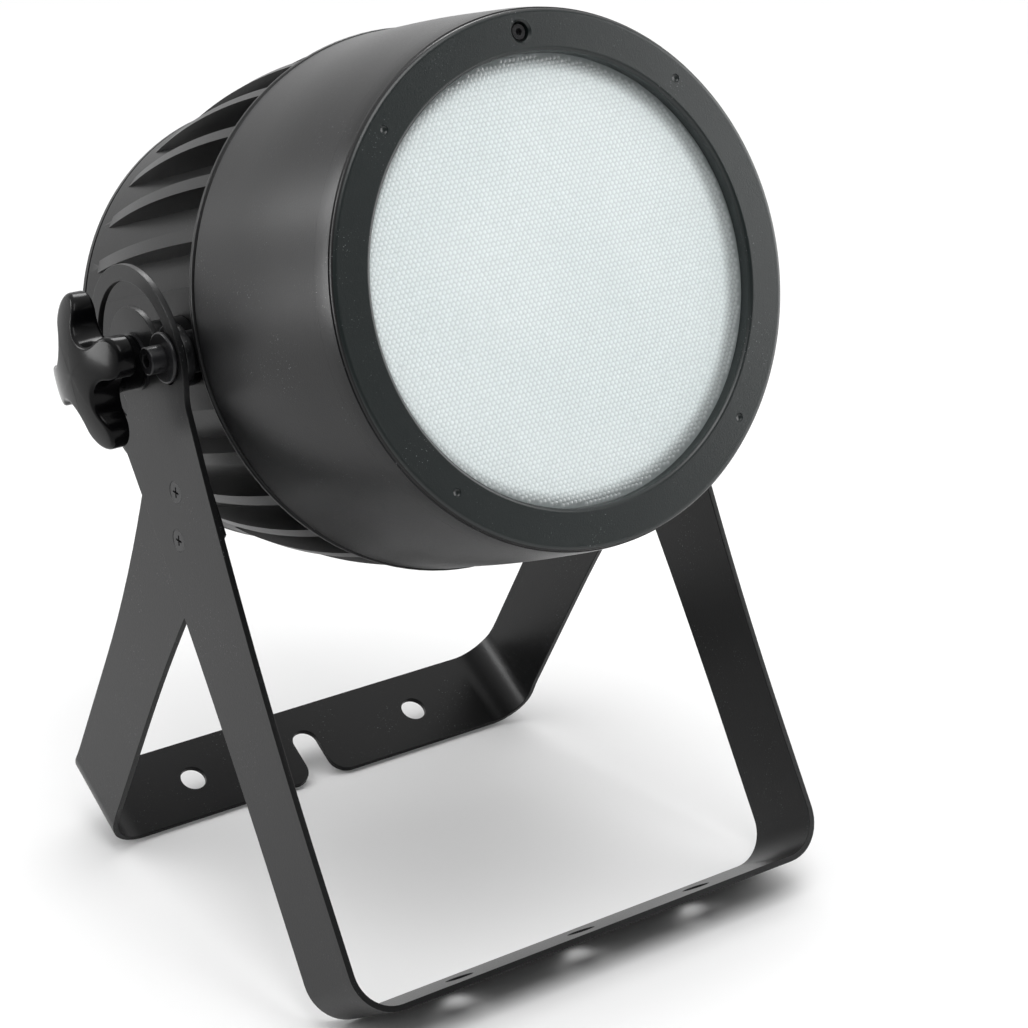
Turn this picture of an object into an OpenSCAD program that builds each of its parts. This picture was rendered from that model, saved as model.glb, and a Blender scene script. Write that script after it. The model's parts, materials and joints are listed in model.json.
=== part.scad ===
// Par can light on a double-leg floor stand.
// +Z is up, the lens faces -Y, and the origin is on the floor under the middle of the light.

/* [Stand] */
// Angle of each leg from the vertical, in degrees
leg_tilt = 31; // [26:0.5:34]
// Distance from the leg crossing to the outer face of a foot bar
leg_length = 251; // [240:1:280]
// Thickness of the bracket sheet
sheet = 3; // [2.5:0.5:3.5]
// Outside width of the front bracket; the rear bracket nests inside it
bracket_width = 276.2; // [275.6:0.1:278]
// Width of a bracket strip at the foot
strip_width = 47.6; // [44:0.2:52]
// Outside radius of the sheet bends
bend_radius = 22.5; // [16:0.5:26]
// Radius of the bracket's round head, around the tilt pivot
head_plate_radius = 45.6; // [45:0.1:50]
// Diameter of the fixing holes in the foot bars
fixing_hole = 14; // [10:0.5:16]
// Distance of the outer fixing holes from the middle of a foot bar
fixing_offset = 71.5; // [60:0.5:80]

/* [Tilt pivot] */
// Height of the pivot above the leg crossing
pivot_rise = 64.9; // [62:0.1:70]
// Distance of the pivot behind the leg crossing
pivot_back = 31; // [29:0.5:33]
// Upward tilt of the lamp as it stands, in degrees
lamp_tilt = 18.2; // [0:0.1:40]
// Radius of the middle of the arc slot
slot_radius = 31.75; // [31:0.25:33]
// Width of the arc slot
slot_width = 12.1; // [10:0.1:12.5]
// Lamp tilt at which the guide screw meets the low end of the slot
tilt_low = 6; // [2:1:10]
// Lamp tilt at which the guide screw meets the high end of the slot
tilt_high = 236; // [220:1:240]

/* [Front of the lamp] */
// Outside radius of the front ring
ring_radius = 120.3; // [118:0.1:121]
// Clear radius inside the front ring
window_radius = 101.2; // [100.5:0.1:103]
// Depth of the lens below the face of the ring
lens_recess = 6.7; // [6.3:0.1:9]
// Depth of the barrel, from the ring's face to the heat sink flange
barrel_depth = 112; // [110:1:116]
// Distance of the pivot behind the ring's face
pivot_depth = 160.7; // [158:0.1:163]

/* [Heat sink] */
// Radius of the heat sink's flange
flange_radius = 129.7; // [129:0.1:130.2]
// Radius of the heat sink's core
core_radius = 113.8; // [113:0.1:115]
// Depth of the heat sink's rear edge behind the ring's face
core_end = 263; // [260:1:268]
// Number of fin places round the core
fin_places = 30; // [30:4:34]
// Thickness of a fin
fin_thickness = 6.4; // [4:0.2:7]
// Distance of the flat side pads from the middle
pad_face = 112; // [111:0.2:112.6]
// Half height of the flat side pads
pad_half = 29; // [26:1:31]

/* [Knobs] */
// Radius to the tips of a knob's arms
knob_radius = 37.5; // [34:0.5:39]
// Radius of the rounded arm tips
knob_tip_radius = 9.8; // [9:0.1:11]
// Radius to the bottom of the hollows between the arms
knob_waist = 17; // [15:0.5:18]
// Height of the knob's face above the bracket
knob_height = 33.7; // [31:0.1:35]
// Turn of the left knob, in degrees
knob_turn_left = 62.2; // [0:0.2:90]
// Turn of the right knob, in degrees
knob_turn_right = 22; // [0:0.2:90]

/* [Rear panel] */
// Distance of the sockets from the middle of the panel, sideways
socket_side = 40; // [36:1:46]
// Diameter of a menu button
button_diameter = 9; // [7:0.5:10]
// Distance between neighbouring menu buttons
button_pitch = 20; // [16:1:22]
// Travel of a menu button
button_travel = 1.2; // [0.8:0.1:1.5]

/* [Hidden] */

$fn = 96;
smooth = 180;          // facets asked of the large turned parts
cut = 1;               // how far a cutter runs past the face that it opens
gap = 0.05;            // clearance between parts that touch
long = 200;            // reach of a cutter that passes right through

strip_half = strip_width / 2;
front_half = bracket_width / 2;
rear_half = front_half - sheet;
leg_cross_y = -6;
leg_cross_z = leg_length * cos(leg_tilt) + strip_half * sin(leg_tilt);
pivot_y = leg_cross_y + pivot_back;
pivot_z = leg_cross_z + pivot_rise;

flare_low = 65;        // height above the foot bar at which the front bracket starts to widen
flare_high = 280;      // height above the foot bar where the widening ends, behind the head plate
front_flare = 15.7;
back_flare = 8.4;
rear_flare_low = 109;
rear_flare_high = 223;
rear_outer_flare = 9;
rear_inner_flare = 5;
rear_waist = 1.4;      // how much each edge of the rear bracket draws in above its bends
waist_low = 8;
waist_high = 32;
flare_steps = 12;
neck_fillet = 18;

slot_in = slot_radius - slot_width / 2;
slot_end_low = 180 - tilt_low;
slot_end_high = 180 - tilt_high;
spigot_radius = 8;
stud_radius = 5;
guide_angle = 180 - lamp_tilt;

cover_face = core_end + 7.5;
cover_back = core_end + 1.5;
core_bore = 105;
cover_screw_circle = 108.6;
cover_screw_count = 8;
flange_depth = 4;
floor_depth = 7;
fin_peak = 127.6;
fin_peak_depth = 130;
fin_curve = 1080;
fin_steps = 14;

// ---------- shared shapes ----------

function arc(centre, r, from, to, steps) =
    [for (i = [0:steps]) let (a = from + (to - from) * i / steps) centre + r * [cos(a), sin(a)]];

function rising(low, high, z) = pow(max(0, (z - low) / (high - low)), 2);

// A point given behind and above the leg crossing, seen in the frame of a leg turned by a.
function in_leg(p, a) = [p[0] * cos(a) + p[1] * sin(a), -p[0] * sin(a) + p[1] * cos(a)];

// A profile of [radius, depth] points turned about the lamp's axis, with depth running backwards.
module turned(profile) mirror([0, 0, 1]) rotate_extrude($fn = smooth) polygon(profile);

// A disc or tube of the lamp between two depths.
module barrel(r, near, far) translate([0, 0, -far]) cylinder(r = r, h = far - near, $fn = smooth);

module tube(r_out, r_in, near, far)
    difference() {
        barrel(r_out, near, far);
        barrel(r_in, near - cut, far + cut);
    }

module rod(r, near, far) translate([0, 0, -far]) cylinder(r = r, h = far - near);

module block(width, height, near, far)
    translate([-width / 2, -height / 2, -far]) cube([width, height, far - near]);

// Lamp frame: X across, Y up, Z forward from the face of the front ring.
module lamp_frame()
    translate([0, pivot_y, pivot_z])
        rotate([90 - lamp_tilt, 0, 0])
            translate([0, 0, pivot_depth])
                children();

// Side frame: 2D x runs backwards, 2D y runs up, and height runs out along +X.
module side_frame() translate([0, pivot_y, pivot_z]) rotate([90, 0, 90]) children();

module both_sides() {
    children();
    mirror([1, 0, 0]) children();
}

module across(r, from, to) translate([0, 0, from]) cylinder(r = r, h = to - from);

module at_guide() rotate(guide_angle) translate([slot_radius, 0, 0]) children();

// ---------- stand ----------

module leg_frame(a) translate([0, leg_cross_y, leg_cross_z]) rotate([a, 0, 0]) children();

module u_outline(half, foot, r, top) {
    translate([-half, -foot + r]) square([2 * half, top + foot - r]);
    translate([-half + r, -foot]) square([2 * (half - r), 2 * r]);
    for (s = [-1, 1]) translate([s * (half - r), -foot + r]) circle(r);
}

// The bent sheet, a full-width U, before its sides are trimmed to shape.
module u_sheet(half, top)
    rotate([90, 0, 0])
        linear_extrude(2 * strip_width + 40, center = true)
            difference() {
                u_outline(half, leg_length, bend_radius, top);
                u_outline(half - sheet, leg_length - sheet, bend_radius - sheet, top + cut);
            }

module side_prism() rotate([90, 0, 90]) linear_extrude(2 * long, center = true) children();

// One edge of a strip that widens with height, from the foot bar up; z runs up the leg.
function edge(side, half, top, low, high, flare) = [
    for (i = [0:flare_steps])
        let (z = low + (top - low) * i / flare_steps)
        [side * (half + flare * rising(low, high, z)), z - leg_length]
];

// Where an edge of the rear bracket draws in, just above the bend.
function waist(side) = [
    for (i = [0:6])
        let (z = waist_low + (waist_high - waist_low) * i / 6)
        [side * (strip_half - rear_waist * (1 - cos(30 * i)) / 2), z - leg_length]
];

function reversed(points) = [for (i = [len(points) - 1:-1:0]) points[i]];

module strip(minus_edge, plus_edge) polygon(concat(
    [[strip_half, -leg_length - cut], [-strip_half, -leg_length - cut]],
    minus_edge,
    reversed(plus_edge)
));

// The front bracket's sides: the strip widens up to a fillet at each edge, then runs round the head.
module front_side_outline() {
    pivot = in_leg([pivot_back, pivot_rise], -leg_tilt);
    neck_z = pivot[1] - 0.8 * head_plate_radius;
    flares = [front_flare, back_flare];
    sides = [-1, 1];
    // How far each fillet's centre lies beside and below the pivot.
    reach = [for (i = [0, 1])
        strip_half + flares[i] * rising(flare_low, flare_high, neck_z + leg_length)
            - sides[i] * pivot[0] + neck_fillet];
    drop = [for (r = reach) sqrt(pow(head_plate_radius + neck_fillet, 2) - r * r)];
    edges = [for (i = [0, 1]) concat(
        edge(sides[i], strip_half, leg_length + pivot[1] - drop[i] - 2, flare_low, flare_high, flares[i]),
        arc(pivot + [sides[i] * reach[i], -drop[i]], neck_fillet,
            90 + 90 * sides[i], atan2(drop[i], -sides[i] * reach[i]), 5)
    )];
    head = arc(pivot, head_plate_radius, 180 + atan2(drop[0], reach[0]), -atan2(drop[1], reach[1]), 60);
    strip(
        concat(edges[0], inner(head)),
        edges[1]
    );
}

module rear_side_outline() {
    pivot = in_leg([pivot_back, pivot_rise], leg_tilt);
    half = strip_half - rear_waist;
    top = leg_length + 50;
    difference() {
        strip(
            concat(waist(-1), edge(-1, half, top, rear_flare_low, rear_flare_high, rear_inner_flare)),
            concat(waist(1), edge(1, half, top, rear_flare_low, rear_flare_high, rear_outer_flare))
        );
        translate(pivot) circle(head_plate_radius + 0.5);
    }
}

function inner(points) = [for (i = [1:len(points) - 2]) points[i]];

function slot_end(a, from) =
    inner(arc(slot_radius * [cos(a), sin(a)], slot_width / 2, from, from + 180, 12));

module arc_slot() translate([0, 0, front_half - 2 * sheet]) linear_extrude(3 * sheet)
    polygon(concat(
        arc([0, 0], slot_in + slot_width, slot_end_high, slot_end_low, 70),
        slot_end(slot_end_low, slot_end_low),
        arc([0, 0], slot_in, slot_end_low, slot_end_high, 50),
        slot_end(slot_end_high, slot_end_high + 180)
    ));

bracket_screw_rise = [8.8, -15.3];

// Height 0 is where the two brackets meet.
module at_bracket_screws()
    for (rise = bracket_screw_rise)
        translate([0, leg_cross_y, leg_cross_z + rise])
            rotate([90, 0, 90]) translate([0, 0, rear_half]) children();

// A countersunk shape, from one height up to where its cone has the full radius and beyond it.
module countersunk(neck, rim, from, top, beyond)
    rotate_extrude() polygon([
        [0, from], [neck, from], [neck, top - rim + neck], [rim + beyond, top + beyond], [0, top + beyond]
    ]);

module foot_hole(x) translate([x, 0, -leg_length - cut]) cylinder(d = fixing_hole, h = 2 * sheet + cut);

module front_bracket() color([0.30, 0.32, 0.33]) difference() {
    leg_frame(-leg_tilt) difference() {
        intersection() {
            u_sheet(front_half, leg_length);
            side_prism() front_side_outline();
        }
        for (x = [-fixing_offset, 0, fixing_offset]) foot_hole(x);
    }
    both_sides() side_frame() {
        arc_slot();
        across(spigot_radius + gap, front_half - 2 * sheet, front_half + sheet);
    }
    both_sides() at_bracket_screws() countersunk(3.2, screw_rim + 0.2, -cut, sheet, cut);
}

// The open notch in the middle of the rear foot bar, with rounded lips.
module foot_notch() {
    half = 7.25;
    floor_y = 0.75;
    lip = 10;
    translate([0, 0, -leg_length - cut]) linear_extrude(2 * sheet + cut) {
        translate([0, floor_y]) circle(half);
        translate([-half, -strip_half - cut]) square([2 * half, strip_half + cut + floor_y]);
        difference() {
            translate([-half - lip, -strip_half - cut]) square([2 * (half + lip), lip + cut]);
            for (s = [-1, 1]) translate([s * (half + lip), -strip_half + lip]) circle(lip);
        }
    }
}

module rear_bracket() color([0.17, 0.18, 0.19]) difference() {
    leg_frame(leg_tilt) difference() {
        intersection() {
            u_sheet(rear_half, leg_length);
            side_prism() rear_side_outline();
        }
        for (x = [-fixing_offset, fixing_offset]) foot_hole(x);
        foot_notch();
    }
    leg_frame(-leg_tilt) translate([-long, -30 - long, -long]) cube([2 * long, long, 2 * long]);
    both_sides() at_bracket_screws() translate([0, 0, -sheet - cut]) cylinder(r = 3.2, h = sheet + 2 * cut);
}

clinch_depth = 2;
screw_rim = 5.3;

module bracket_screws() color([0.12, 0.12, 0.13]) both_sides() at_bracket_screws() difference() {
    countersunk(3, screw_rim, -sheet - clinch_depth, sheet - 0.15, 0);
    for (a = [0, 90]) rotate(a) translate([-2.6, -0.5, sheet - 1.5]) cube([5.2, 1, 2]);
}

module clinch_nuts() color([0.6, 0.6, 0.6]) both_sides() at_bracket_screws()
    translate([0, 0, -sheet - clinch_depth]) difference() {
        cylinder(r = 5.5, h = clinch_depth);
        translate([0, 0, -cut]) cylinder(r = 3 + gap, h = clinch_depth + 2 * cut);
    }

// ---------- heat sink ----------

function fin_edge(depth) = fin_peak - pow(depth - fin_peak_depth, 2) / fin_curve;

module fin(from, to) {
    step = (to - from) / fin_steps;
    rotate([90, 0, 0]) linear_extrude(fin_thickness, center = true)
        polygon(concat(
            [[core_bore + 2, -to], [core_bore + 2, -from]],
            [for (i = [0:fin_steps]) [fin_edge(from + i * step), -from - i * step]]
        ));
}

module fins() {
    pitch = 360 / fin_places;
    last = fin_peak_depth + sqrt(fin_curve * (fin_peak - core_radius));
    for (i = [0:fin_places - 1])
        if (abs(sin(i * pitch)) * core_radius > pad_half)
            rotate(i * pitch) fin(barrel_depth + 1, last);
}

module flange() {
    r = 1.5;
    far = barrel_depth + flange_depth;
    turned(concat(
        [[core_bore, barrel_depth]],
        arc([flange_radius - r, barrel_depth + r], r, -90, 0, 4),
        arc([flange_radius - r, far - r], r, 0, 90, 4),
        [[core_bore, far]]
    ));
}

module core() {
    block_in = 96;
    tube(core_radius, core_bore, barrel_depth, core_end);
    barrel(core_bore + 1, barrel_depth, barrel_depth + floor_depth);
    both_sides() translate([block_in, -pad_half, -core_end + 6])
        cube([pad_face - block_in, 2 * pad_half, core_end - barrel_depth - 10]);
}

module at_housing_screws()
    for (a = [30:60:330])
        rotate(a) translate([121.2, 0, 0]) children();

module at_cover_screws()
    for (i = [0:cover_screw_count - 1])
        rotate((i + 0.5) * 360 / cover_screw_count) translate([cover_screw_circle, 0, 0]) children();

module heat_sink() color([0.26, 0.27, 0.28]) {
    difference() {
        lamp_frame() union() {
            difference() {
                core();
                both_sides() translate([pad_face, -pad_half, -long - core_end])
                    cube([long, 2 * pad_half, long + core_end - barrel_depth - flange_depth]);
            }
            flange();
            fins();
        }
        both_sides() side_frame() {
            across(12 + gap, pad_face - 8, pad_face + long);
            at_guide() across(4 + gap, pad_face - 14, pad_face + 8);
        }
        lamp_frame() {
            at_housing_screws() rod(2.2, barrel_depth - cut, barrel_depth + flange_depth + cut);
            at_cover_screws() rod(2 + gap, core_end - 12, core_end + cut);
        }
    }
}

// ---------- front of the lamp ----------

housing_back = barrel_depth - 2.5;
lens_thickness = 3.8;
lens_edge = 105.7;
lens_back = lens_recess + lens_thickness;
gasket_thickness = 1.5;
housing_front = lens_back + gasket_thickness;
lock_screw_radius = 110.6;
lock_screw_floor = 5.2;

function barrel_radius(depth) = ring_radius + (flange_radius - 0.8 - ring_radius) * depth / barrel_depth;

module front_ring() color([0.22, 0.25, 0.25]) lamp_frame() difference() {
    lip = 2;
    rim = 0.8;
    turned(concat(
        [[window_radius, lens_recess]],
        arc([window_radius + lip, lip], lip, 180, 270, 6),
        arc([ring_radius - rim, rim], rim, -90, 0, 4),
        [[barrel_radius(housing_front), housing_front], [lens_edge + 0.4, housing_front],
         [lens_edge + 0.4, lens_recess]]
    ));
    translate([0, lock_screw_radius, 0]) {
        rod(4.5, -cut, lock_screw_floor);
        translate([0, 0, -0.8]) cylinder(r1 = 4.5, r2 = 5.5, h = 1);
        rod(2.2, 0, housing_front + cut);
    }
    for (a = [45:90:315]) rotate(a) translate([111.5, 0, -1.2]) cylinder(r = 2, h = 2 * cut + 0.2);
}

module ring_lock_screw() color([0.05, 0.05, 0.05]) lamp_frame() translate([0, lock_screw_radius, 0])
    difference() {
        union() {
            rod(3.5, lock_screw_floor - 3.3, lock_screw_floor);
            rod(2, lock_screw_floor - 0.5, housing_front + 6);
        }
        translate([0, 0, 1.3 - lock_screw_floor]) cylinder(r = 1.75, h = 4, $fn = 6);
    }

module lens() color([0.9, 0.9, 0.9]) lamp_frame() barrel(lens_edge, lens_recess + gap, lens_back);

// A frosted sheet on the back of the lens.
module diffuser() color([0.95, 0.95, 0.95]) lamp_frame() barrel(99.8, lens_back + gap, lens_back + 1.2);

module lens_gasket() color([0.08, 0.08, 0.08]) lamp_frame()
    tube(lens_edge, 101.5, lens_back + gap, housing_front);

module front_housing() color([0.26, 0.27, 0.28]) lamp_frame() {
    seat = housing_front + gap;
    wall = 3.4;
    difference() {
        union() {
            turned([
                [101.5, seat], [barrel_radius(seat), seat], [barrel_radius(housing_back), housing_back],
                [barrel_radius(housing_back) - wall, housing_back], [117.4, seat + 4], [101.5, seat + 4]
            ]);
            at_housing_screws() rod(4.6, housing_back - 14, housing_back);
        }
        translate([0, lock_screw_radius, 0]) rod(2 + gap, housing_front, housing_front + 6.2);
        at_housing_screws() rod(2 + gap, housing_back - 10, housing_back + cut);
    }
}

module housing_seal() color([0.04, 0.04, 0.04]) lamp_frame() difference() {
    tube(flange_radius - 1.8, 115.5, housing_back + gap, barrel_depth - gap);
    at_housing_screws() rod(2.3, housing_back - cut, barrel_depth + cut);
}

module housing_screws() color([0.5, 0.5, 0.5]) lamp_frame() at_housing_screws() difference() {
    seat = barrel_depth + flange_depth;
    union() {
        rod(2, housing_back - 9, seat + 1);
        rod(3.5, seat + gap, seat + 4);
    }
    translate([0, 0, -seat - 5]) cylinder(r = 1.7, h = 3, $fn = 6);
}

// ---------- light engine ----------

reflector_front = 19.6;
reflector_back = barrel_depth - 3.6;

function reflector_radius(depth) =
    let (u = (reflector_back - depth) / (reflector_back - reflector_front), low = 17.5, high = 98.5)
    sqrt(low * low + (high * high - low * low) * u);

module reflector() color([0.8, 0.8, 0.8]) lamp_frame() {
    steps = 16;
    skin = 1.2;
    depths = [for (i = [0:steps]) reflector_back + (reflector_front - reflector_back) * pow(i / steps, 2)];
    turned(concat(
        [for (d = depths) [reflector_radius(d), d]],
        [[111, reflector_front], [111, reflector_front + skin]],
        [for (i = [steps - 1:-1:0]) [reflector_radius(depths[i]) + 1.6 * skin, depths[i]]]
    ));
}

module led_module() color([0.9, 0.8, 0.3]) lamp_frame() union() {
    rod(38, barrel_depth - 1.6, barrel_depth - gap);
    rod(15, barrel_depth - 2.8, barrel_depth - 1.5);
}

module led_holder() color([0.85, 0.85, 0.85]) lamp_frame()
    tube(38, 16, reflector_back + gap, barrel_depth - 1.6 - gap);

module power_supply() color([0.7, 0.7, 0.7]) lamp_frame() translate([0, -40, 0])
    block(130, 56, barrel_depth + 14, core_end - 28);

module driver_board() color([0.1, 0.4, 0.2]) lamp_frame() translate([0, 14, 0]) union() {
    block(120, 1.6, barrel_depth + 14, core_end - 28);
    for (x = [-36, 0, 36])
        translate([x, 10, 0]) block(16, 19, barrel_depth + 30, barrel_depth + 56);
    for (x = [-40, -14, 14, 40])
        translate([x, 0, -barrel_depth - 90]) rotate([-90, 0, 0]) cylinder(r = 7, h = 24);
}

module control_board() color([0.1, 0.4, 0.2]) lamp_frame() translate([0, 34, 0]) union() {
    block(96, 60, core_end - 13.6, core_end - 12);
    translate([0, 14, 0]) block(44, 20, core_end - 12, core_end - 4);
    translate([-20, -18, 0]) block(20, 14, core_end - 18, core_end - 13);
}

// ---------- rear of the lamp ----------

buttons_up = 18;
display_up = 48;
display_size = [46, 22];
cover_lip = 3;
socket_hole = 12;

socket_spots = [[-socket_side, -16], [socket_side, -16], [-socket_side, -56], [socket_side, -56]];

module at_button(place) translate([(place - 1.5) * button_pitch, buttons_up, 0]) children();

module rear_gasket() color([0.04, 0.04, 0.04]) lamp_frame() difference() {
    tube(core_radius - 1, core_bore + 0.5, core_end + gap, cover_back - gap);
    at_cover_screws() rod(2.3, core_end - cut, cover_back + cut);
}

module rear_cover() color([0.24, 0.25, 0.26]) lamp_frame() difference() {
    turned([
        [0, cover_back], [core_radius, cover_back], [core_radius, cover_face - cover_lip],
        [core_radius - cover_lip, cover_face], [0, cover_face]
    ]);
    at_cover_screws() {
        rod(2.3, cover_back - cut, cover_face + cut);
        rod(3.9, cover_face - 3.2, cover_face + cut);
    }
    translate([0, display_up, 0]) {
        block(display_size[0], display_size[1], cover_face - 2.2, cover_face + cut);
        block(display_size[0] - 8, display_size[1] - 8, cover_back - cut, cover_face + cut);
    }
    for (i = [0:3]) at_button(i) rod(button_diameter / 2 + 0.1, cover_back - cut, cover_face + cut);
    for (p = socket_spots) translate(p) rod(socket_hole, cover_back - cut, cover_face + cut);
    translate([0, -30, 0]) rod(5 + gap, cover_back - cut, cover_face + cut);
    for (x = [-9, 9]) translate([x, -86, 0]) rod(2.5 + gap, cover_back - cut, cover_face + cut);
}

module cover_screws() color([0.5, 0.5, 0.5]) lamp_frame() at_cover_screws() difference() {
    union() {
        rod(2, core_end - 10, cover_face - 3);
        rod(3.5, cover_face - 3.2 + gap, cover_face);
    }
    translate([0, 0, -cover_face - cut]) cylinder(r = 1.7, h = 3, $fn = 6);
}

module display_window() color([0.05, 0.07, 0.09]) lamp_frame() translate([0, display_up, 0])
    block(display_size[0] - 0.2, display_size[1] - 0.2, cover_face - 2.2 + gap, cover_face - 0.4);

module button(place) color([0.12, 0.12, 0.13]) lamp_frame() at_button(place) union() {
    cap = cover_face + button_travel + 0.8;
    rod(button_diameter / 2, cover_back - 2, cap - 0.4);
    rod(button_diameter / 2 - 0.8, cap - 0.5, cap);
    rod(button_diameter / 2 + 1, cover_back - 1.2, cover_back - 0.2);
}

module button_mode() button(0);
module button_up() button(1);
module button_down() button(2);
module button_enter() button(3);

// A flanged panel socket: a square plate, a raised round shell and an insulator at its floor.
module socket(spot) lamp_frame() translate(spot) difference() {
    union() {
        block(26, 31, cover_face + gap, cover_face + 2);
        rod(socket_hole - gap, cover_back - 16, cover_face + 1);
        rod(11.4, cover_face + 1, cover_face + 5.5);
    }
    rod(9.8, cover_face + 2, cover_face + 6.5);
    for (p = [[-10, -12.5], [10, 12.5]]) translate(p) {
        rod(1.6, cover_face - cut, cover_face + 3);
        translate([0, 0, -cover_face - 2 - cut]) cylinder(r1 = 4.2, r2 = 1.6, h = 2);
    }
    children();
}

module power_inlet() color([0.15, 0.25, 0.55]) socket(socket_spots[0])
    for (a = [0:120:240]) rotate(a) translate([5.4, 0, 0]) block(1.8, 5, cover_face - 4, cover_face + 3);

module power_outlet() color([0.6, 0.6, 0.6]) socket(socket_spots[1])
    for (a = [60:120:300]) rotate(a) translate([5.4, 0, 0]) block(1.8, 5, cover_face - 4, cover_face + 3);

module data_input() color([0.12, 0.12, 0.12]) socket(socket_spots[2])
    for (a = [-144:72:144]) rotate(a + 90) translate([5.6, 0, 0]) rod(1.3, cover_face - 4, cover_face + 3);

module data_output() color([0.12, 0.12, 0.12]) socket(socket_spots[3])
    for (a = [-144:72:144]) rotate(a - 90) translate([5.6, 0, 0]) rod(1.3, cover_face - 4, cover_face + 3);

module vent_plug() color([0.1, 0.1, 0.1]) lamp_frame() translate([0, -30, 0]) difference() {
    union() {
        rod(5, cover_back - 4, cover_face + 1);
        rod(8.5, cover_face + gap, cover_face + 3.5);
    }
    for (a = [0:60:300]) rotate(a) translate([5.2, 0, 0]) rod(0.9, cover_face + 1, cover_face + 4.5);
}

// A folded steel eye for the safety cable, bolted through the cover.
module safety_loop() color([0.6, 0.6, 0.6]) lamp_frame() translate([0, -86, 0]) {
    eye_out = 18;
    difference() {
        union() {
            block(30, 14, cover_face + gap, cover_face + 3);
            translate([-2, -7, -cover_face - eye_out]) cube([4, 14, eye_out - 1]);
            translate([-2, 0, -cover_face - eye_out]) rotate([0, 90, 0]) cylinder(r = 9, h = 4);
            for (x = [-9, 9]) translate([x, 0, 0]) {
                rod(2.5, cover_back - 4, cover_face + 4);
                rod(4.5, cover_face + 2.9, cover_face + 5.5);
            }
        }
        translate([-3, 0, -cover_face - eye_out]) rotate([0, 90, 0]) cylinder(r = 5.5, h = 6);
    }
}

// ---------- tilt pivot ----------

boss_end = rear_half - 2;
boss_radius = 16.8;
washer_thickness = 1.6;
guide_washer = 2.4;
guide_head = 8;
guide_flange = slot_radius - boss_radius - 0.45;

module pivot_bosses() color([0.3, 0.3, 0.31]) both_sides() side_frame() difference() {
    union() {
        across(12, pad_face - 8 + gap, pad_face + cut);
        across(boss_radius, pad_face + gap, boss_end);
        across(spigot_radius, boss_end - cut, front_half - 0.3);
    }
    across(stud_radius + gap, pad_face - 10, front_half + cut);
}

module tilt_washers() color([0.12, 0.12, 0.12]) both_sides() side_frame() difference() {
    across(boss_radius, boss_end + gap, rear_half - gap);
    across(spigot_radius + gap, boss_end - cut, front_half);
}

module guide_spacers() color([0.3, 0.3, 0.31]) both_sides() side_frame() at_guide() difference() {
    union() {
        across(10, pad_face + gap, rear_half - 1);
        across(guide_flange, rear_half - 4.5, rear_half - gap);
    }
    across(4 + gap, pad_face - cut, front_half);
}

module guide_washers() color([0.12, 0.12, 0.12]) both_sides() side_frame() at_guide() difference() {
    across(12, front_half + gap, front_half + guide_washer);
    across(4 + gap, front_half - cut, front_half + 2 * guide_washer);
}

module guide_screws() color([0.08, 0.08, 0.08]) both_sides() side_frame() at_guide() {
    seat = front_half + guide_washer;
    chamfer = 0.5;
    difference() {
        union() {
            across(4, pad_face - 13, seat + cut);
            across(6.5, seat + gap, seat + guide_head - chamfer);
            translate([0, 0, seat + guide_head - chamfer])
                cylinder(r1 = 6.5, r2 = 6.5 - chamfer, h = chamfer);
        }
        translate([0, 0, seat + guide_head / 2]) cylinder(r = 3.45, h = guide_head, $fn = 6);
    }
}

// ---------- knobs ----------

knob_hub = 12.5;
knob_back = 16.5;
knob_dome = 85;

function turned_points(points, a) =
    [for (p = points) [p[0] * cos(a) - p[1] * sin(a), p[0] * sin(a) + p[1] * cos(a)]];

// Four arms whose round tips flow into round hollows.
module star() {
    tip = knob_radius - knob_tip_radius;
    hollow = (tip * tip - pow(knob_waist - knob_tip_radius, 2))
        / (2 * (tip * cos(45) - knob_waist + knob_tip_radius));
    lean = atan2(hollow * sin(45), hollow * cos(45) - tip);
    quarter = concat(
        arc([tip, 0], knob_tip_radius, -lean, lean, 12),
        arc(hollow * [cos(45), sin(45)], hollow - knob_waist, lean + 174, 276 - lean, 9)
    );
    polygon([for (k = [0:3]) each turned_points(quarter, 90 * k)]);
}

// The space under the knob's domed face.
module dome() {
    span = asin((knob_radius + 2) / knob_dome);
    rotate_extrude() polygon(concat(
        [[0, front_half]],
        [[knob_radius + 2, front_half]],
        arc([0, front_half + knob_height - knob_dome], knob_dome, 90 - span, 90, 8)
    ));
}

module knob(turn) side_frame() rotate(turn) difference() {
    union() {
        across(knob_hub, front_half + washer_thickness + 0.1, front_half + knob_back + cut);
        translate([0, 0, front_half + 9])
            cylinder(r1 = knob_hub - 0.5, r2 = knob_waist - 1, h = knob_back - 9 + cut);
        intersection() {
            translate([0, 0, front_half + knob_back]) linear_extrude(knob_height) star();
            dome();
        }
    }
    across(stud_radius + gap, front_half, front_half + 18);
}

module knob_right() color([0.03, 0.03, 0.03]) knob(knob_turn_right);
module knob_left() color([0.03, 0.03, 0.03]) mirror([1, 0, 0]) knob(knob_turn_left);

module knob_stud() side_frame() across(stud_radius, pad_face - 6, front_half + 17);

module knob_stud_right() color([0.7, 0.7, 0.7]) knob_stud();
module knob_stud_left() color([0.7, 0.7, 0.7]) mirror([1, 0, 0]) knob_stud();

module knob_washer() side_frame() difference() {
    across(13.5, front_half + gap, front_half + washer_thickness);
    across(stud_radius + gap, front_half - cut, front_half + 3);
}

module knob_washer_right() color([0.6, 0.6, 0.6]) knob_washer();
module knob_washer_left() color([0.6, 0.6, 0.6]) mirror([1, 0, 0]) knob_washer();

// ---------- assembly ----------

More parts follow.
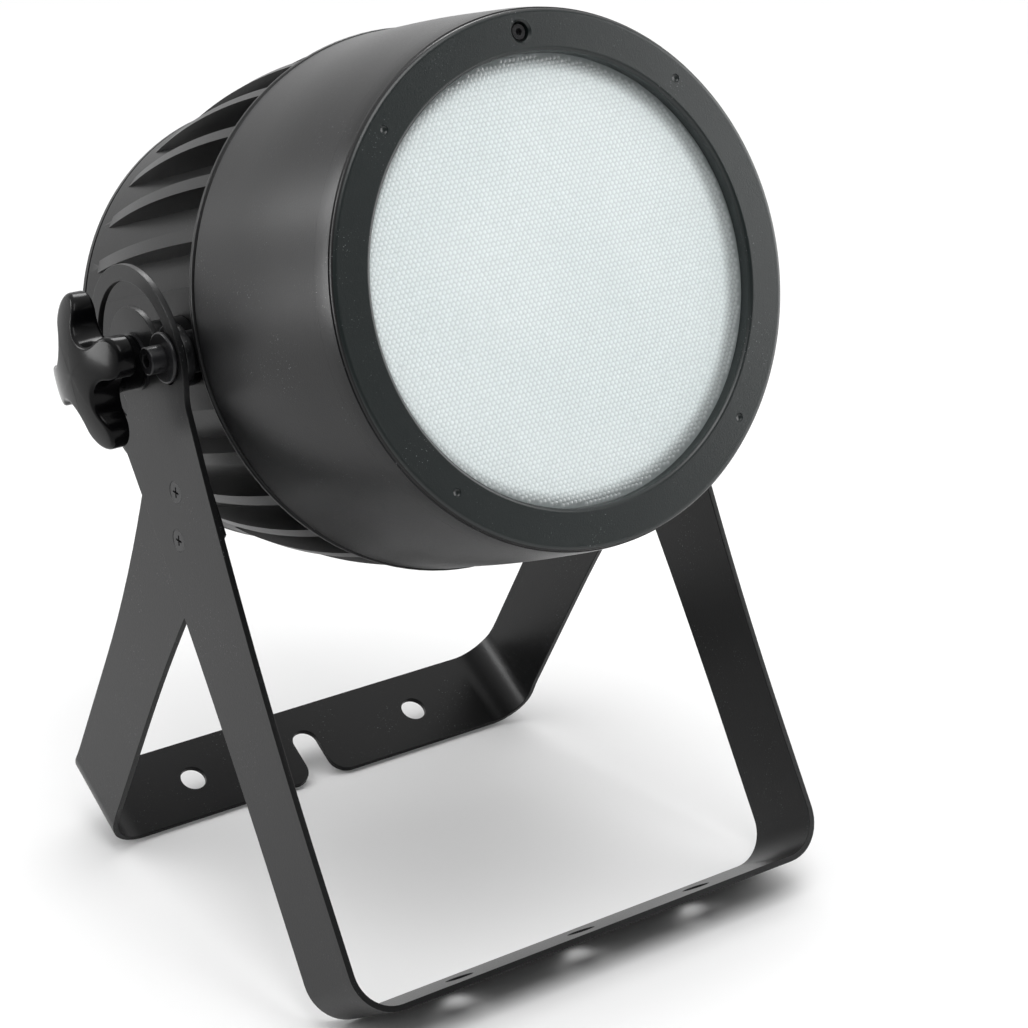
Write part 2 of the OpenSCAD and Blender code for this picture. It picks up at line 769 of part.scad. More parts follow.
front_bracket();
rear_bracket();
bracket_screws();
clinch_nuts();
heat_sink();
front_housing();
housing_seal();
housing_screws();
front_ring();
ring_lock_screw();
lens();
diffuser();
lens_gasket();
reflector();
led_module();
led_holder();
power_supply();
driver_board();
control_board();
rear_gasket();
rear_cover();
cover_screws();
display_window();
button_mode();
button_up();
button_down();
button_enter();
power_inlet();
power_outlet();
data_input();
data_output();
vent_plug();
safety_loop();
pivot_bosses();
tilt_washers();
guide_spacers();
guide_washers();
guide_screws();
knob_left();
knob_right();
knob_stud_left();
knob_stud_right();
knob_washer_left();
knob_washer_right();
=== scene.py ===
"""A par can light on a double-leg floor stand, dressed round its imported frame."""

import json
import math

import bmesh
import bpy
from mathutils import Matrix, Vector


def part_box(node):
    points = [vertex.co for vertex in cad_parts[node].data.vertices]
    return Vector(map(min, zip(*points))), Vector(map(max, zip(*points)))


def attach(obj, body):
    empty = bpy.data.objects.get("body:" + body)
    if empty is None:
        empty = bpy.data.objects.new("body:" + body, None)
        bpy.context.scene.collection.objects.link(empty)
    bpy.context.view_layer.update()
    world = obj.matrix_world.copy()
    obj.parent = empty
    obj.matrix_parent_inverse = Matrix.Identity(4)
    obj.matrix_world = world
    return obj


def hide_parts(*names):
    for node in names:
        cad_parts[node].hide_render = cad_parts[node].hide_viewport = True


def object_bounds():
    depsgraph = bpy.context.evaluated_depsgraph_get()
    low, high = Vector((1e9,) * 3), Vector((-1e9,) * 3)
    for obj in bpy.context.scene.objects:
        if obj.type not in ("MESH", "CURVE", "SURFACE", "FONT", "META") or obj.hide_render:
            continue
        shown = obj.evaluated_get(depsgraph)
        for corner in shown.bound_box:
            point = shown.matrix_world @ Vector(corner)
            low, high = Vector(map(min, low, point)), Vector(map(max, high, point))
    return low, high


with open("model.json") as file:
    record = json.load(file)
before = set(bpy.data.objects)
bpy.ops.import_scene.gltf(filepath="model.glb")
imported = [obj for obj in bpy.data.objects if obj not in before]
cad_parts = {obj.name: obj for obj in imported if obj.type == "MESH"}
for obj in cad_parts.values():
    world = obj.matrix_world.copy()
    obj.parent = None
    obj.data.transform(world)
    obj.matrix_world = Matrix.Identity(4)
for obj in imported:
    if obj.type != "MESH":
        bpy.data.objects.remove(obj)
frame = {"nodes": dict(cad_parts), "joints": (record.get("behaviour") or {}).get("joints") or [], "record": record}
cad_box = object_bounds()
NODES = frame["nodes"]
SLOT_OF = {part["node"]: part["material_slot"] for part in frame["record"]["subparts"]}
BODY_OF = {node: body for body, nodes in frame["record"]["behaviour"]["bodies"].items() for node in nodes}
MM = 0.001
NUDGE = 1e-5  # how far outside a depth range a vertex may lie, in metres

# ---------- the lamp's own frame, from its tilt joint and its lens ----------

tilt = next(joint for joint in frame["joints"] if joint["name"] == "head_tilt")
PIVOT = Vector(tilt["pos_m"])
lens_low, lens_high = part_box("lens")
LENS_MIDDLE = (lens_low + lens_high) / 2
FORWARD = (LENS_MIDDLE - PIVOT).normalized()
UP = Vector((1, 0, 0)).cross(-FORWARD).normalized()
if UP.z < 0:
    UP = -UP


def reach_along(node, axis):
    """The least and greatest distance of a node's points along an axis through the pivot."""
    spans = [axis.dot(vertex.co - PIVOT) for vertex in NODES[node].data.vertices]
    return min(spans), max(spans)


def reach_from_axis(node, near, far, least=False):
    """The greatest or least distance from the lamp's axis of a node's points between two depths."""
    spans = []
    for vertex in NODES[node].data.vertices:
        offset = vertex.co - RING_MIDDLE
        if near - NUDGE <= -offset.dot(FORWARD) <= far + NUDGE:
            spans.append(math.hypot(offset.x, UP.dot(offset)))
    return min(spans) if least else max(spans)


RING_FACE = reach_along("front_ring", FORWARD)[1]
RING_MIDDLE = PIVOT + FORWARD * RING_FACE
LENS_BACK, LENS_FRONT = (RING_FACE - span for span in reach_along("lens", FORWARD))
WINDOW_RADIUS = min(math.hypot(offset.x, UP.dot(offset)) for offset in
                    (vertex.co - RING_MIDDLE for vertex in NODES["front_ring"].data.vertices))

# ---------- camera ----------

# The photograph's view: seen from the lamp's left front, from the middle of the CAD box.
AZIMUTH, ELEVATION, ROLL = math.radians(-35.12), math.radians(21.73), math.radians(-0.83)
DISTANCE = 1.347
SIDE_STEP, RISE_STEP = 0.0471, -0.0358
LENS_MM, SENSOR_MM, CLIP_START = 95.57, 36.0, 0.05


def make_camera():
    low, high = cad_box
    back = Vector((math.sin(AZIMUTH) * math.cos(ELEVATION), -math.cos(AZIMUTH) * math.cos(ELEVATION),
                   math.sin(ELEVATION)))
    side = Vector((math.cos(AZIMUTH), math.sin(AZIMUTH), 0))
    rise = back.cross(side)
    middle = (Vector(low) + Vector(high)) / 2
    place = middle + back * DISTANCE + side * SIDE_STEP + rise * RISE_STEP
    across = side * math.cos(ROLL) + rise * math.sin(ROLL)
    upward = rise * math.cos(ROLL) - side * math.sin(ROLL)
    data = bpy.data.cameras.new("camera")
    data.lens, data.sensor_width, data.clip_start = LENS_MM, SENSOR_MM, CLIP_START
    camera = bpy.data.objects.new("camera", data)
    bpy.context.scene.collection.objects.link(camera)
    turn = Matrix((across, upward, back)).transposed().to_4x4()
    camera.matrix_world = Matrix.Translation(place) @ turn
    bpy.context.scene.camera = camera


make_camera()
bpy.context.scene.view_settings.view_transform = "Standard"

# ---------- materials ----------


class Material:
    """A node material on object coordinates, in metres."""

    def __init__(self, name):
        self.material = bpy.data.materials.new(name)
        self.material.use_nodes = True
        self.tree = self.material.node_tree
        self.surface = self.tree.nodes["Principled BSDF"]
        self.place = self.tree.nodes.new("ShaderNodeTexCoord").outputs["Object"]

    def node(self, kind, inputs=None, **settings):
        node = self.tree.nodes.new(kind)
        for key, value in settings.items():
            setattr(node, key, value)
        for key, value in (inputs or {}).items():
            if isinstance(value, bpy.types.NodeSocket):
                self.tree.links.new(value, node.inputs[key])
            else:
                node.inputs[key].default_value = value
        return node

    def noise(self, scale, detail=3.0, roughness=0.5, stretch=(1, 1, 1)):
        mapped = self.node("ShaderNodeMapping", {"Vector": self.place, "Scale": stretch})
        noise = self.node("ShaderNodeTexNoise", {
            "Vector": mapped.outputs[0], "Scale": scale, "Detail": detail, "Roughness": roughness})
        return noise.outputs["Fac"]

    def cells(self, scale):
        cells = self.node("ShaderNodeTexVoronoi", {"Vector": self.place, "Scale": scale})
        return cells.outputs["Distance"]

    def between(self, factor, low, high, start=0.0, end=1.0):
        spread = self.node("ShaderNodeMapRange", {
            "Value": factor, "From Min": start, "From Max": end, "To Min": low, "To Max": high})
        return spread.outputs["Result"]

    def blend(self, factor, first, second):
        mix = self.node("ShaderNodeMix", {}, data_type="RGBA")
        for key, value in ((0, factor), (6, first), (7, second)):
            if isinstance(value, bpy.types.NodeSocket):
                self.tree.links.new(value, mix.inputs[key])
            elif key == 0:
                mix.inputs[key].default_value = value
            else:
                mix.inputs[key].default_value = (*value, 1)
        return mix.outputs[2]

    def set(self, **inputs):
        for key, value in inputs.items():
            socket = self.surface.inputs[key.replace("_", " ")]
            if isinstance(value, bpy.types.NodeSocket):
                self.tree.links.new(value, socket)
            elif isinstance(value, tuple) and len(value) == 3:
                socket.default_value = (*value, 1)
            else:
                socket.default_value = value

    def bump(self, height, strength, distance):
        node = self.node("ShaderNodeBump", {"Height": height, "Strength": strength, "Distance": distance})
        self.tree.links.new(node.outputs[0], self.surface.inputs["Normal"])


DUST = (0.35, 0.36, 0.37)
PAINTED_SHADE_FROM, PAINTED_SHADE_TO = 94.5 * MM, 99.5 * MM  # the diffuser's edge, where painted shade darkens it and its painted glow fades


def scaled(colour, factor):
    return tuple(channel * factor for channel in colour)


def powder_coat(name, colour, roughness, shine, grain=900):
    """Satin powder coat: two tones, a fine orange peel and a few pale dust specks."""
    coat = Material(name)
    broad = coat.noise(9, 2)
    tone = coat.blend(coat.between(broad, 0, 1, 0.35, 0.65), scaled(colour, 0.9), scaled(colour, 1.1))
    fine = coat.noise(grain, 4, 0.6)
    specks = coat.between(coat.noise(1500, 1), 0, 1, 0.71, 0.76)
    spread = coat.between(coat.noise(40, 2), 0, 0.6, 0.5, 0.7)
    speck = coat.node("ShaderNodeMath", {0: specks, 1: spread}, operation="MULTIPLY").outputs[0]
    coat.set(Base_Color=coat.blend(speck, tone, DUST), Specular_IOR_Level=shine,
             Roughness=coat.between(fine, roughness - 0.05, roughness + 0.07))
    coat.bump(fine, 0.5, 0.1 * MM)
    return coat.material


def moulded(name, colour, roughness, strength=0.12, coat_weight=0.0, shine=0.5):
    """Moulded plastic or rubber: even colour with a faint drift and a soft moulded texture."""
    plastic = Material(name)
    broad = plastic.noise(25, 3)
    tone = plastic.blend(broad, scaled(colour, 0.85), scaled(colour, 1.2))
    fine = plastic.noise(700, 3)
    plastic.set(Base_Color=tone, Roughness=plastic.between(fine, roughness * 0.85, roughness * 1.15),
                Coat_Weight=coat_weight, Coat_Roughness=0.06, Specular_IOR_Level=shine)
    plastic.bump(plastic.noise(175, 3), strength, 0.2 * MM)
    return plastic.material


def steel(name, colour, roughness, metallic=1.0, shine=0.5):
    """Plated or oxidised steel: cloudy tone, fine turning marks."""
    metal = Material(name)
    cloud = metal.noise(120, 4)
    tone = metal.blend(cloud, scaled(colour, 0.75), scaled(colour, 1.15))
    marks = metal.noise(600, 3, 0.6, (1, 6, 6))
    metal.set(Base_Color=tone, Metallic=metallic, Specular_IOR_Level=shine,
              Roughness=metal.between(marks, roughness - 0.07, roughness + 0.1))
    metal.bump(marks, 0.15, 0.05 * MM)
    return metal.material


def lens_material():
    """Clear pebbled plastic: milky on each pebble, with painted shade in the grooves between, and glossy."""
    glass = Material("lens_glass")
    groove = glass.node("ShaderNodeAttribute", attribute_name="groove").outputs["Fac"]
    cloud = glass.noise(14, 2)
    crown = glass.blend(cloud, (0.72, 0.76, 0.76), (0.82, 0.86, 0.86))
    # Painted shade: the grooves between the pebbles are coloured dark grey.
    tone = glass.blend(groove, crown, (0.42, 0.46, 0.46))
    glass.set(Base_Color=tone, Roughness=glass.between(cloud, 0.1, 0.18),
              Alpha=glass.between(groove, 0.36, 0.5), Coat_Weight=0.5, Coat_Roughness=0.05)
    return glass.material


def diffuser_material():
    """A frosted white sheet with soft brighter and darker clouds; a painted glow lights it from within, and
    painted shade darkens its edge, where the glow fades.
    """
    sheet = Material("diffuser_white")
    cloud = sheet.noise(17, 1.5, 0.4)
    tone = sheet.blend(sheet.between(cloud, 0, 1, 0.38, 0.62), (0.84, 0.89, 0.89), (0.97, 0.99, 0.99))
    offset = sheet.node("ShaderNodeVectorMath", {0: sheet.place, 1: RING_MIDDLE}, operation="SUBTRACT")
    offset = offset.outputs[0]
    square = sheet.node("ShaderNodeVectorMath", {0: offset, 1: offset}, operation="DOT_PRODUCT")
    # Painted shade: near its rim the sheet's colour turns dark grey.
    edge = sheet.between(square.outputs["Value"], 0, 1, PAINTED_SHADE_FROM ** 2, PAINTED_SHADE_TO ** 2)
    tone = sheet.blend(edge, tone, (0.16, 0.18, 0.18))
    # Painted glow: the sheet emits light, strongest inside its rim and none at the rim.
    painted_glow = sheet.between(edge, 0.74, 0.0)
    sheet.set(Base_Color=tone, Roughness=0.6, Emission_Color=(0.9, 0.97, 0.97), Emission_Strength=painted_glow)
    return sheet.material


def phosphor():
    """White ceramic with a yellow dot on each chip."""
    chip = Material("led_ceramic")
    dots = chip.cells(260)
    tone = chip.blend(chip.between(dots, 0, 1, 0.3, 0.5), (0.9, 0.75, 0.15), (0.8, 0.8, 0.76))
    chip.set(Base_Color=tone, Roughness=0.5)
    return chip.material


def circuit_board():
    """Green board with a grid of lighter tracks."""
    board = Material("circuit_board")
    tracks = board.node("ShaderNodeTexBrick", {"Vector": board.place, "Scale": 90.0, "Mortar Size": 0.04})
    tone = board.blend(tracks.outputs["Fac"], (0.015, 0.10, 0.04), (0.03, 0.22, 0.08))
    board.set(Base_Color=tone, Roughness=0.35)
    return board.material


MATERIALS = {
    "bracket_paint": powder_coat("bracket_paint", (0.0055, 0.0056, 0.0059), 0.32, 0.19),
    "housing_paint": powder_coat("housing_paint", (0.004, 0.0041, 0.0045), 0.3, 0.22, grain=1100),
    "ring_paint": powder_coat("ring_paint", (0.006, 0.0095, 0.0095), 0.3, 0.42, grain=1300),
    "fin_paint": powder_coat("fin_paint", (0.004, 0.0041, 0.0044), 0.34, 0.17, grain=1100),
    "black_steel": steel("black_steel", (0.010, 0.010, 0.011), 0.28, 0.1, 0.25),
    "zinc_steel": steel("zinc_steel", (0.55, 0.55, 0.56), 0.3),
    "seal_rubber": moulded("seal_rubber", (0.012, 0.012, 0.012), 0.7),
    "lens_glass": lens_material(),
    "diffuser_white": diffuser_material(),
    "reflector_metal": steel("reflector_metal", (0.8, 0.8, 0.8), 0.2),
    "led_ceramic": phosphor(),
    "white_plastic": moulded("white_plastic", (0.75, 0.75, 0.72), 0.5),
    "driver_case": moulded("driver_case", (0.12, 0.12, 0.125), 0.5),
    "circuit_board": circuit_board(),
    "display_plastic": moulded("display_plastic", (0.006, 0.008, 0.010), 0.08, coat_weight=0.6, strength=0.02),
    "blue_plastic": moulded("blue_plastic", (0.02, 0.06, 0.28), 0.4),
    "grey_plastic": moulded("grey_plastic", (0.30, 0.31, 0.32), 0.45),
    "black_plastic": moulded("black_plastic", (0.012, 0.012, 0.013), 0.4),
    "knob_plastic": moulded("knob_plastic", (0.0015, 0.0015, 0.0017), 0.18, coat_weight=0.04, strength=0.04,
                            shine=0.08),
    "button_rubber": moulded("button_rubber", (0.03, 0.03, 0.032), 0.6),
}

# ---------- mesh helpers ----------

MERGE_CAD, MERGE_LATHE = 1e-6, 1e-7  # vertices closer than this are one, in metres
FLAT_ANGLE, BEVEL_ANGLE, BEVEL_SEGMENTS = 0.3, 32, 2  # degrees, degrees, steps round an edge


def add_piece(name, mesh, node, smooth_angle=35):
    """Links a mesh as the piece that stands for a CAD node; no angle leaves its normals alone."""
    piece = bpy.data.objects.new(name, mesh)
    bpy.context.scene.collection.objects.link(piece)
    mesh.materials.clear()
    mesh.materials.append(MATERIALS[SLOT_OF[node]])
    if smooth_angle:
        mesh.polygons.foreach_set("use_smooth", [True] * len(mesh.polygons))
        mesh.set_sharp_from_angle(angle=math.radians(smooth_angle))
    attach(piece, BODY_OF[node])
    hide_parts(node)
    return piece


def applied(mesh, name, add_modifiers):
    """The mesh with modifiers baked in."""
    carrier = bpy.data.objects.new(name, mesh)
    bpy.context.scene.collection.objects.link(carrier)
    add_modifiers(carrier)
    bpy.context.view_layer.update()
    result = bpy.data.meshes.new_from_object(carrier.evaluated_get(bpy.context.evaluated_depsgraph_get()))
    bpy.data.objects.remove(carrier)
    return result


def edged(node, width):
    """A CAD node's own shape with its sharp edges rounded."""
    mesh = bpy.data.meshes.new(node)
    shape = bmesh.new()
    shape.from_mesh(NODES[node].data)
    bmesh.ops.remove_doubles(shape, verts=shape.verts, dist=MERGE_CAD)
    bmesh.ops.dissolve_limit(shape, angle_limit=math.radians(FLAT_ANGLE), verts=shape.verts, edges=shape.edges)
    shape.to_mesh(mesh)
    shape.free()
    mesh.polygons.foreach_set("use_smooth", [True] * len(mesh.polygons))

    def bevel(carrier):
        modifier = carrier.modifiers.new("edges", "BEVEL")
        modifier.width, modifier.segments = width, BEVEL_SEGMENTS
        modifier.limit_method, modifier.angle_limit = "ANGLE", math.radians(BEVEL_ANGLE)
        modifier.use_clamp_overlap = True
        carrier.modifiers.new("normals", "WEIGHTED_NORMAL").keep_sharp = True

    return add_piece(node + "_edged", applied(mesh, node, bevel), node, None)


def lamp_point(across, up, depth):
    """A point of the lamp: across and up from its axis, and depth behind the ring's face, in metres."""
    return RING_MIDDLE + Vector((across, 0, 0)) + UP * up - FORWARD * depth


def arc(centre, radius, start, end, steps):
    """Points on an arc, in degrees, with the direction that leads outwards from its centre."""
    points = []
    for step in range(steps + 1):
        angle = math.radians(start + (end - start) * step / steps)
        way = Vector((math.cos(angle), math.sin(angle)))
        points.append((Vector(centre) + way * radius, way))
    return points


def face_outwards(mesh, merge=None):
    """Turns a mesh's faces outwards, after merging its close vertices if a distance is given."""
    shape = bmesh.new()
    shape.from_mesh(mesh)
    if merge:
        bmesh.ops.remove_doubles(shape, verts=shape.verts, dist=merge)
    bmesh.ops.recalc_face_normals(shape, faces=shape.faces)
    shape.to_mesh(mesh)
    shape.free()


def mesh_from_rings(name, rings, closed_top=None, closed_bottom=None):
    """A skin over rings of equal count, with an optional middle point at each end."""
    count = len(rings[0])
    points = [point for ring in rings for point in ring]
    faces = []
    for level in range(len(rings) - 1):
        for k in range(count):
            a, b = level * count + k, level * count + (k + 1) % count
            faces.append((a, b, b + count, a + count))
    if closed_top is not None:
        points.append(closed_top)
        base = (len(rings) - 1) * count
        faces += [(base + k, base + (k + 1) % count, len(points) - 1) for k in range(count)]
    if closed_bottom is not None:
        points.append(closed_bottom)
        faces += [((k + 1) % count, k, len(points) - 1) for k in range(count)]
    mesh = bpy.data.meshes.new(name)
    mesh.from_pydata(points, [], faces)
    face_outwards(mesh)
    return mesh


def lathe(name, profile, middle=(0, 0), steps=360):
    """A closed profile of (radius, depth) points turned round the lamp's axis, or round a line beside it."""
    rings = []
    for radius, depth in profile + profile[:1]:
        rings.append([lamp_point(middle[0] + radius * math.cos(2 * math.pi * k / steps),
                                 middle[1] + radius * math.sin(2 * math.pi * k / steps), depth)
                      for k in range(steps)])
    mesh = mesh_from_rings(name, rings)
    face_outwards(mesh, MERGE_LATHE)
    return mesh


# ---------- the barrel and the ring, turned as one swelling curve ----------

# How far the barrel stands proud of a straight cone, as (depth, height) in millimetres.
SWELL = ((0, 0), (2.3, 0.35), (5, 0.65), (9, 0.9), (15, 1.05), (25, 1.2), (40, 1.4), (55, 1.45),
         (72, 1.15), (92, 0.5), (112, 0))
RIM_RADIUS = reach_from_axis("front_ring", 0, 3 * MM)
BACK_RADIUS = reach_from_axis("front_housing", 100 * MM, 115 * MM)
BARREL_BACK = RING_FACE - reach_along("front_housing", FORWARD)[0]
SEAL_GAP = 0.5 * MM  # from the barrel's back edge to the heat sink's flange
WALL, WEB = 3.4 * MM, 4 * MM
RING_LIP, RING_RIM, RING_GUARD = 2 * MM, 2.3 * MM, 0.3 * MM
RING_CLEARANCE = 0.4 * MM
LOCK_SINK, LOCK_DEPTH = 4.5 * MM, 5.2 * MM
DENT_CIRCLE, DENT_RADIUS, DENT_DEPTH, DENT_RISE = 111.5 * MM, 2 * MM, 0.9 * MM, 0.1 * MM


def swell(depth):
    """Interpolates the swelling with a smooth curve."""
    knots = [(a * MM, b * MM) for a, b in SWELL]
    index = max(k for k in range(len(knots) - 1) if knots[k][0] <= depth or k == 0)
    (x1, y1), (x2, y2) = knots[index], knots[index + 1]
    x0, y0 = knots[max(index - 1, 0)]
    x3, y3 = knots[min(index + 2, len(knots) - 1)]
    slope1 = (y2 - y0) / (x2 - x0)
    slope2 = (y3 - y1) / (x3 - x1)
    t, span = (depth - x1) / (x2 - x1), x2 - x1
    return ((2 * t ** 3 - 3 * t ** 2 + 1) * y1 + (t ** 3 - 2 * t ** 2 + t) * span * slope1
            + (3 * t ** 2 - 2 * t ** 3) * y2 + (t ** 3 - t ** 2) * span * slope2)


def barrel_radius(depth):
    return RIM_RADIUS + (BACK_RADIUS - RIM_RADIUS) * depth / BARREL_BACK + swell(depth)


def barrel_curve(start, end, step=2.5 * MM):
    count = max(2, round((end - start) / step))
    depths = [start + (end - start) * k / count for k in range(count + 1)]
    return [(barrel_radius(depth), depth) for depth in depths]


def turned_arc(radius, depth, round_radius, start, end, steps):
    return [(point.x, point.y) for point, _ in arc((radius, depth), round_radius, start, end, steps)]


def make_housing():
    seat = RING_FACE - reach_along("front_housing", FORWARD)[1]
    inner = reach_from_axis("front_housing", seat, seat + MM, least=True)
    chamfer = 0.3 * MM
    back = RING_FACE - reach_along("heat_sink", FORWARD)[1] - SEAL_GAP
    profile = [(inner, seat)] + barrel_curve(seat, back - chamfer)
    profile += [(barrel_radius(back) - chamfer, back), (BACK_RADIUS - WALL, back),
                (RIM_RADIUS - WALL, seat + WEB), (inner, seat + WEB)]
    return add_piece("front_housing_turned", lathe("front_housing", profile), "front_housing")


def lock_screw_place():
    """Where the lock screw stands from the ring's middle, across and up."""
    vertices = NODES["ring_lock_screw"].data.vertices
    middle = sum((vertex.co for vertex in vertices), Vector()) / len(vertices)
    return Vector((0, UP.dot(middle - RING_MIDDLE)))


def ring_cutters():
    """A sink for the lock screw and four shallow dents."""
    sink = [(0, -MM), (LOCK_SINK + 2 * MM, -MM), (LOCK_SINK + MM, 0), (LOCK_SINK, MM), (LOCK_SINK, LOCK_DEPTH),
            (0, LOCK_DEPTH)]
    bowl = [(0, -MM), (DENT_RADIUS, -MM), (DENT_RADIUS, DENT_RISE)]
    bowl += [(DENT_RADIUS * math.cos(a), DENT_RISE + DENT_DEPTH * math.sin(a))
             for a in (math.radians(15 * k) for k in range(1, 6))] + [(0, DENT_DEPTH + DENT_RISE)]
    cutters = [lathe("sink", sink, lock_screw_place(), 48)]
    for angle in (math.radians(45 + 90 * quarter) for quarter in range(4)):
        way = Vector((math.cos(angle), math.sin(angle)))
        cutters.append(lathe("dent", bowl, way * DENT_CIRCLE, 32))
    return cutters


def make_ring():
    back = RING_FACE - reach_along("front_ring", FORWARD)[0]
    seat = LENS_FRONT - 0.05 * MM
    bore = reach_from_axis("lens", 0, back) + RING_CLEARANCE
    profile = [(WINDOW_RADIUS, seat)]
    profile += turned_arc(WINDOW_RADIUS + RING_LIP, RING_LIP, RING_LIP, 180, 270, 10)
    profile += [(WINDOW_RADIUS + RING_LIP + RING_GUARD, 0), (RIM_RADIUS - RING_RIM - RING_GUARD, 0)]
    profile += turned_arc(RIM_RADIUS - RING_RIM, RING_RIM, RING_RIM, -90, 0, 10)
    profile += barrel_curve(RING_RIM + RING_GUARD, back)
    profile += [(bore, back), (bore, seat)]
    tools = []

    def cut(carrier):
        for k, cutter in enumerate(ring_cutters()):
            tool = bpy.data.objects.new("cutter%d" % k, cutter)
            bpy.context.scene.collection.objects.link(tool)
            tools.append(tool)
            modifier = carrier.modifiers.new("cut%d" % k, "BOOLEAN")
            modifier.operation, modifier.object, modifier.solver = "DIFFERENCE", tool, "EXACT"

    mesh = applied(lathe("front_ring", profile), "front_ring", cut)
    for tool in tools:
        bpy.data.objects.remove(tool)
    piece = add_piece("front_ring_turned", mesh, "front_ring")
    # The ring's side is painted like the barrel it continues.
    mesh.materials.append(MATERIALS[SLOT_OF["front_housing"]])
    for face in mesh.polygons:
        offset = face.center - RING_MIDDLE
        if math.hypot(offset.x, UP.dot(offset)) > RIM_RADIUS - 0.35 * RING_RIM:
            face.material_index = 1
    return piece


# ---------- the lens: a clear disc with a honeycomb of pebbles on its face ----------

PEBBLE_PITCH = 2.3 * MM
PEBBLE_HEIGHT = 0.45 * MM
PEBBLE_CROWN = 0.05 * MM  # how far below the lens's face a pebble's crown lies
PEBBLE_SHOULDER = 0.55  # where a pebble's shoulder lies, as a share of its reach
LENS_SIDES = 180


def pebble_field(field):
    """Points and faces of the pebbles whose middles lie within a radius."""
    row = PEBBLE_PITCH * math.sqrt(3) / 2
    reach = PEBBLE_PITCH / math.sqrt(3)
    points, faces, index = [], [], {}

    def vertex(x, y, drop):
        key = (round(x * 1e6), round(y * 1e6), round(drop * 1e7))
        if key not in index:
            index[key] = len(points)
            points.append(lamp_point(x, y, LENS_FRONT + drop))
        return index[key]

    rows, columns = int(field / row) + 1, int(field / PEBBLE_PITCH) + 1
    for j in range(-rows, rows + 1):
        shift = PEBBLE_PITCH / 2 if j % 2 else 0
        for i in range(-columns, columns + 1):
            x, y = i * PEBBLE_PITCH + shift, j * row
            if math.hypot(x, y) > field - PEBBLE_PITCH * 0.6:
                continue
            middle = vertex(x, y, PEBBLE_CROWN)
            inner, outer = [], []
            for k in range(6):
                a = math.radians(30 + 60 * k)
                across, rise = reach * math.cos(a), reach * math.sin(a)
                outer.append(vertex(x + across, y + rise, PEBBLE_HEIGHT))
                inner.append(vertex(x + PEBBLE_SHOULDER * across, y + PEBBLE_SHOULDER * rise,
                                    PEBBLE_CROWN + PEBBLE_HEIGHT * 0.28))
            for k in range(6):
                n = (k + 1) % 6
                faces.append((middle, inner[k], inner[n]))
                faces.append((inner[k], outer[k], outer[n], inner[n]))
    return points, faces


def make_lens():
    low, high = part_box("lens")
    edge = (high.x - low.x) / 2
    points, faces = pebble_field(WINDOW_RADIUS + 0.2 * MM)
    mesh = bpy.data.meshes.new("lens_field")
    mesh.from_pydata(points, [], faces)
    shape = bmesh.new()
    shape.from_mesh(mesh)
    # The field's ragged edge is joined to a flat rim.
    border = [side for side in shape.edges if len(side.link_faces) == 1]
    circle = []
    for k in range(LENS_SIDES):
        a = 2 * math.pi * k / LENS_SIDES
        circle.append(shape.verts.new(lamp_point(edge * math.cos(a), edge * math.sin(a),
                                                 LENS_FRONT + PEBBLE_HEIGHT)))
    rim_edges = [shape.edges.new((circle[k], circle[(k + 1) % LENS_SIDES])) for k in range(LENS_SIDES)]
    bmesh.ops.triangle_fill(shape, use_beauty=True, use_dissolve=False, edges=border + rim_edges)
    thickness = LENS_BACK - LENS_FRONT - PEBBLE_HEIGHT
    back_circle = [shape.verts.new(vertex.co - FORWARD * thickness) for vertex in circle]
    for k in range(LENS_SIDES):
        n = (k + 1) % LENS_SIDES
        shape.faces.new((circle[k], circle[n], back_circle[n], back_circle[k]))
    shape.faces.new(back_circle)
    bmesh.ops.recalc_face_normals(shape, faces=shape.faces)
    shape.to_mesh(mesh)
    shape.free()
    # The material tells the grooves from the crowns by depth, and paints shade into the grooves.
    depths = [(RING_MIDDLE - vertex.co).dot(FORWARD) - LENS_FRONT for vertex in mesh.vertices]
    groove = mesh.attributes.new("groove", "FLOAT", "POINT")
    groove.data.foreach_set("value", [min(1, max(0, depth) / PEBBLE_HEIGHT) for depth in depths])
    return add_piece("lens_pebbled", mesh, "lens", 50)


# ---------- the knobs: a four-armed star with a domed face and round edges ----------

KNOB_TIP, KNOB_WAIST = 9.8 * MM, 17 * MM  # an arm's end radius, and the radius between arms
KNOB_HUB, KNOB_BORE, KNOB_BORE_DEPTH = 12.5 * MM, 5.06 * MM, 12 * MM
KNOB_DOME = 85 * MM
KNOB_BACK_GAP = 16.5 * MM  # from the bracket's face to the star's back
EDGE_UNDER, EDGE_OVER = 1.8 * MM, 1.6 * MM
EIGHTH = math.cos(math.pi / 4)


def star_outline(radius, turn, steps=18):
    """The star's outline as points with outward directions, turned and running round once."""
    tip = radius - KNOB_TIP
    hollow = (tip ** 2 - (KNOB_WAIST - KNOB_TIP) ** 2) / (2 * (tip * EIGHTH - KNOB_WAIST + KNOB_TIP))
    bay = Vector((hollow * EIGHTH, hollow * EIGHTH))
    lean = math.degrees(math.atan2(bay.y, bay.x - tip))
    rounds = arc((tip, 0), KNOB_TIP, -lean, lean, steps)
    bays = [(point, -way) for point, way in arc(bay, hollow - KNOB_WAIST, lean + 180, 270 - lean, steps)]
    outline = []
    for quarter in range(4):
        spin = Matrix.Rotation(math.radians(turn + 90 * quarter), 2)
        outline += [(spin @ point, spin @ way) for point, way in rounds[:-1] + bays[:-1]]
    return outline


def knob_span(node):
    """The knob's greatest radius, and the turn of an arm in degrees."""
    offsets = [vertex.co - PIVOT for vertex in NODES[node].data.vertices]
    tip = max(offsets, key=lambda offset: math.hypot(offset.y, offset.z))
    return math.hypot(tip.y, tip.z), math.degrees(math.atan2(tip.z, tip.y))


BRACKET_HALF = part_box("front_bracket")[1].x
KNOB_RADIUS = knob_span("knob_left")[0]
KNOB_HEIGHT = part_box("knob_right")[1].x - BRACKET_HALF


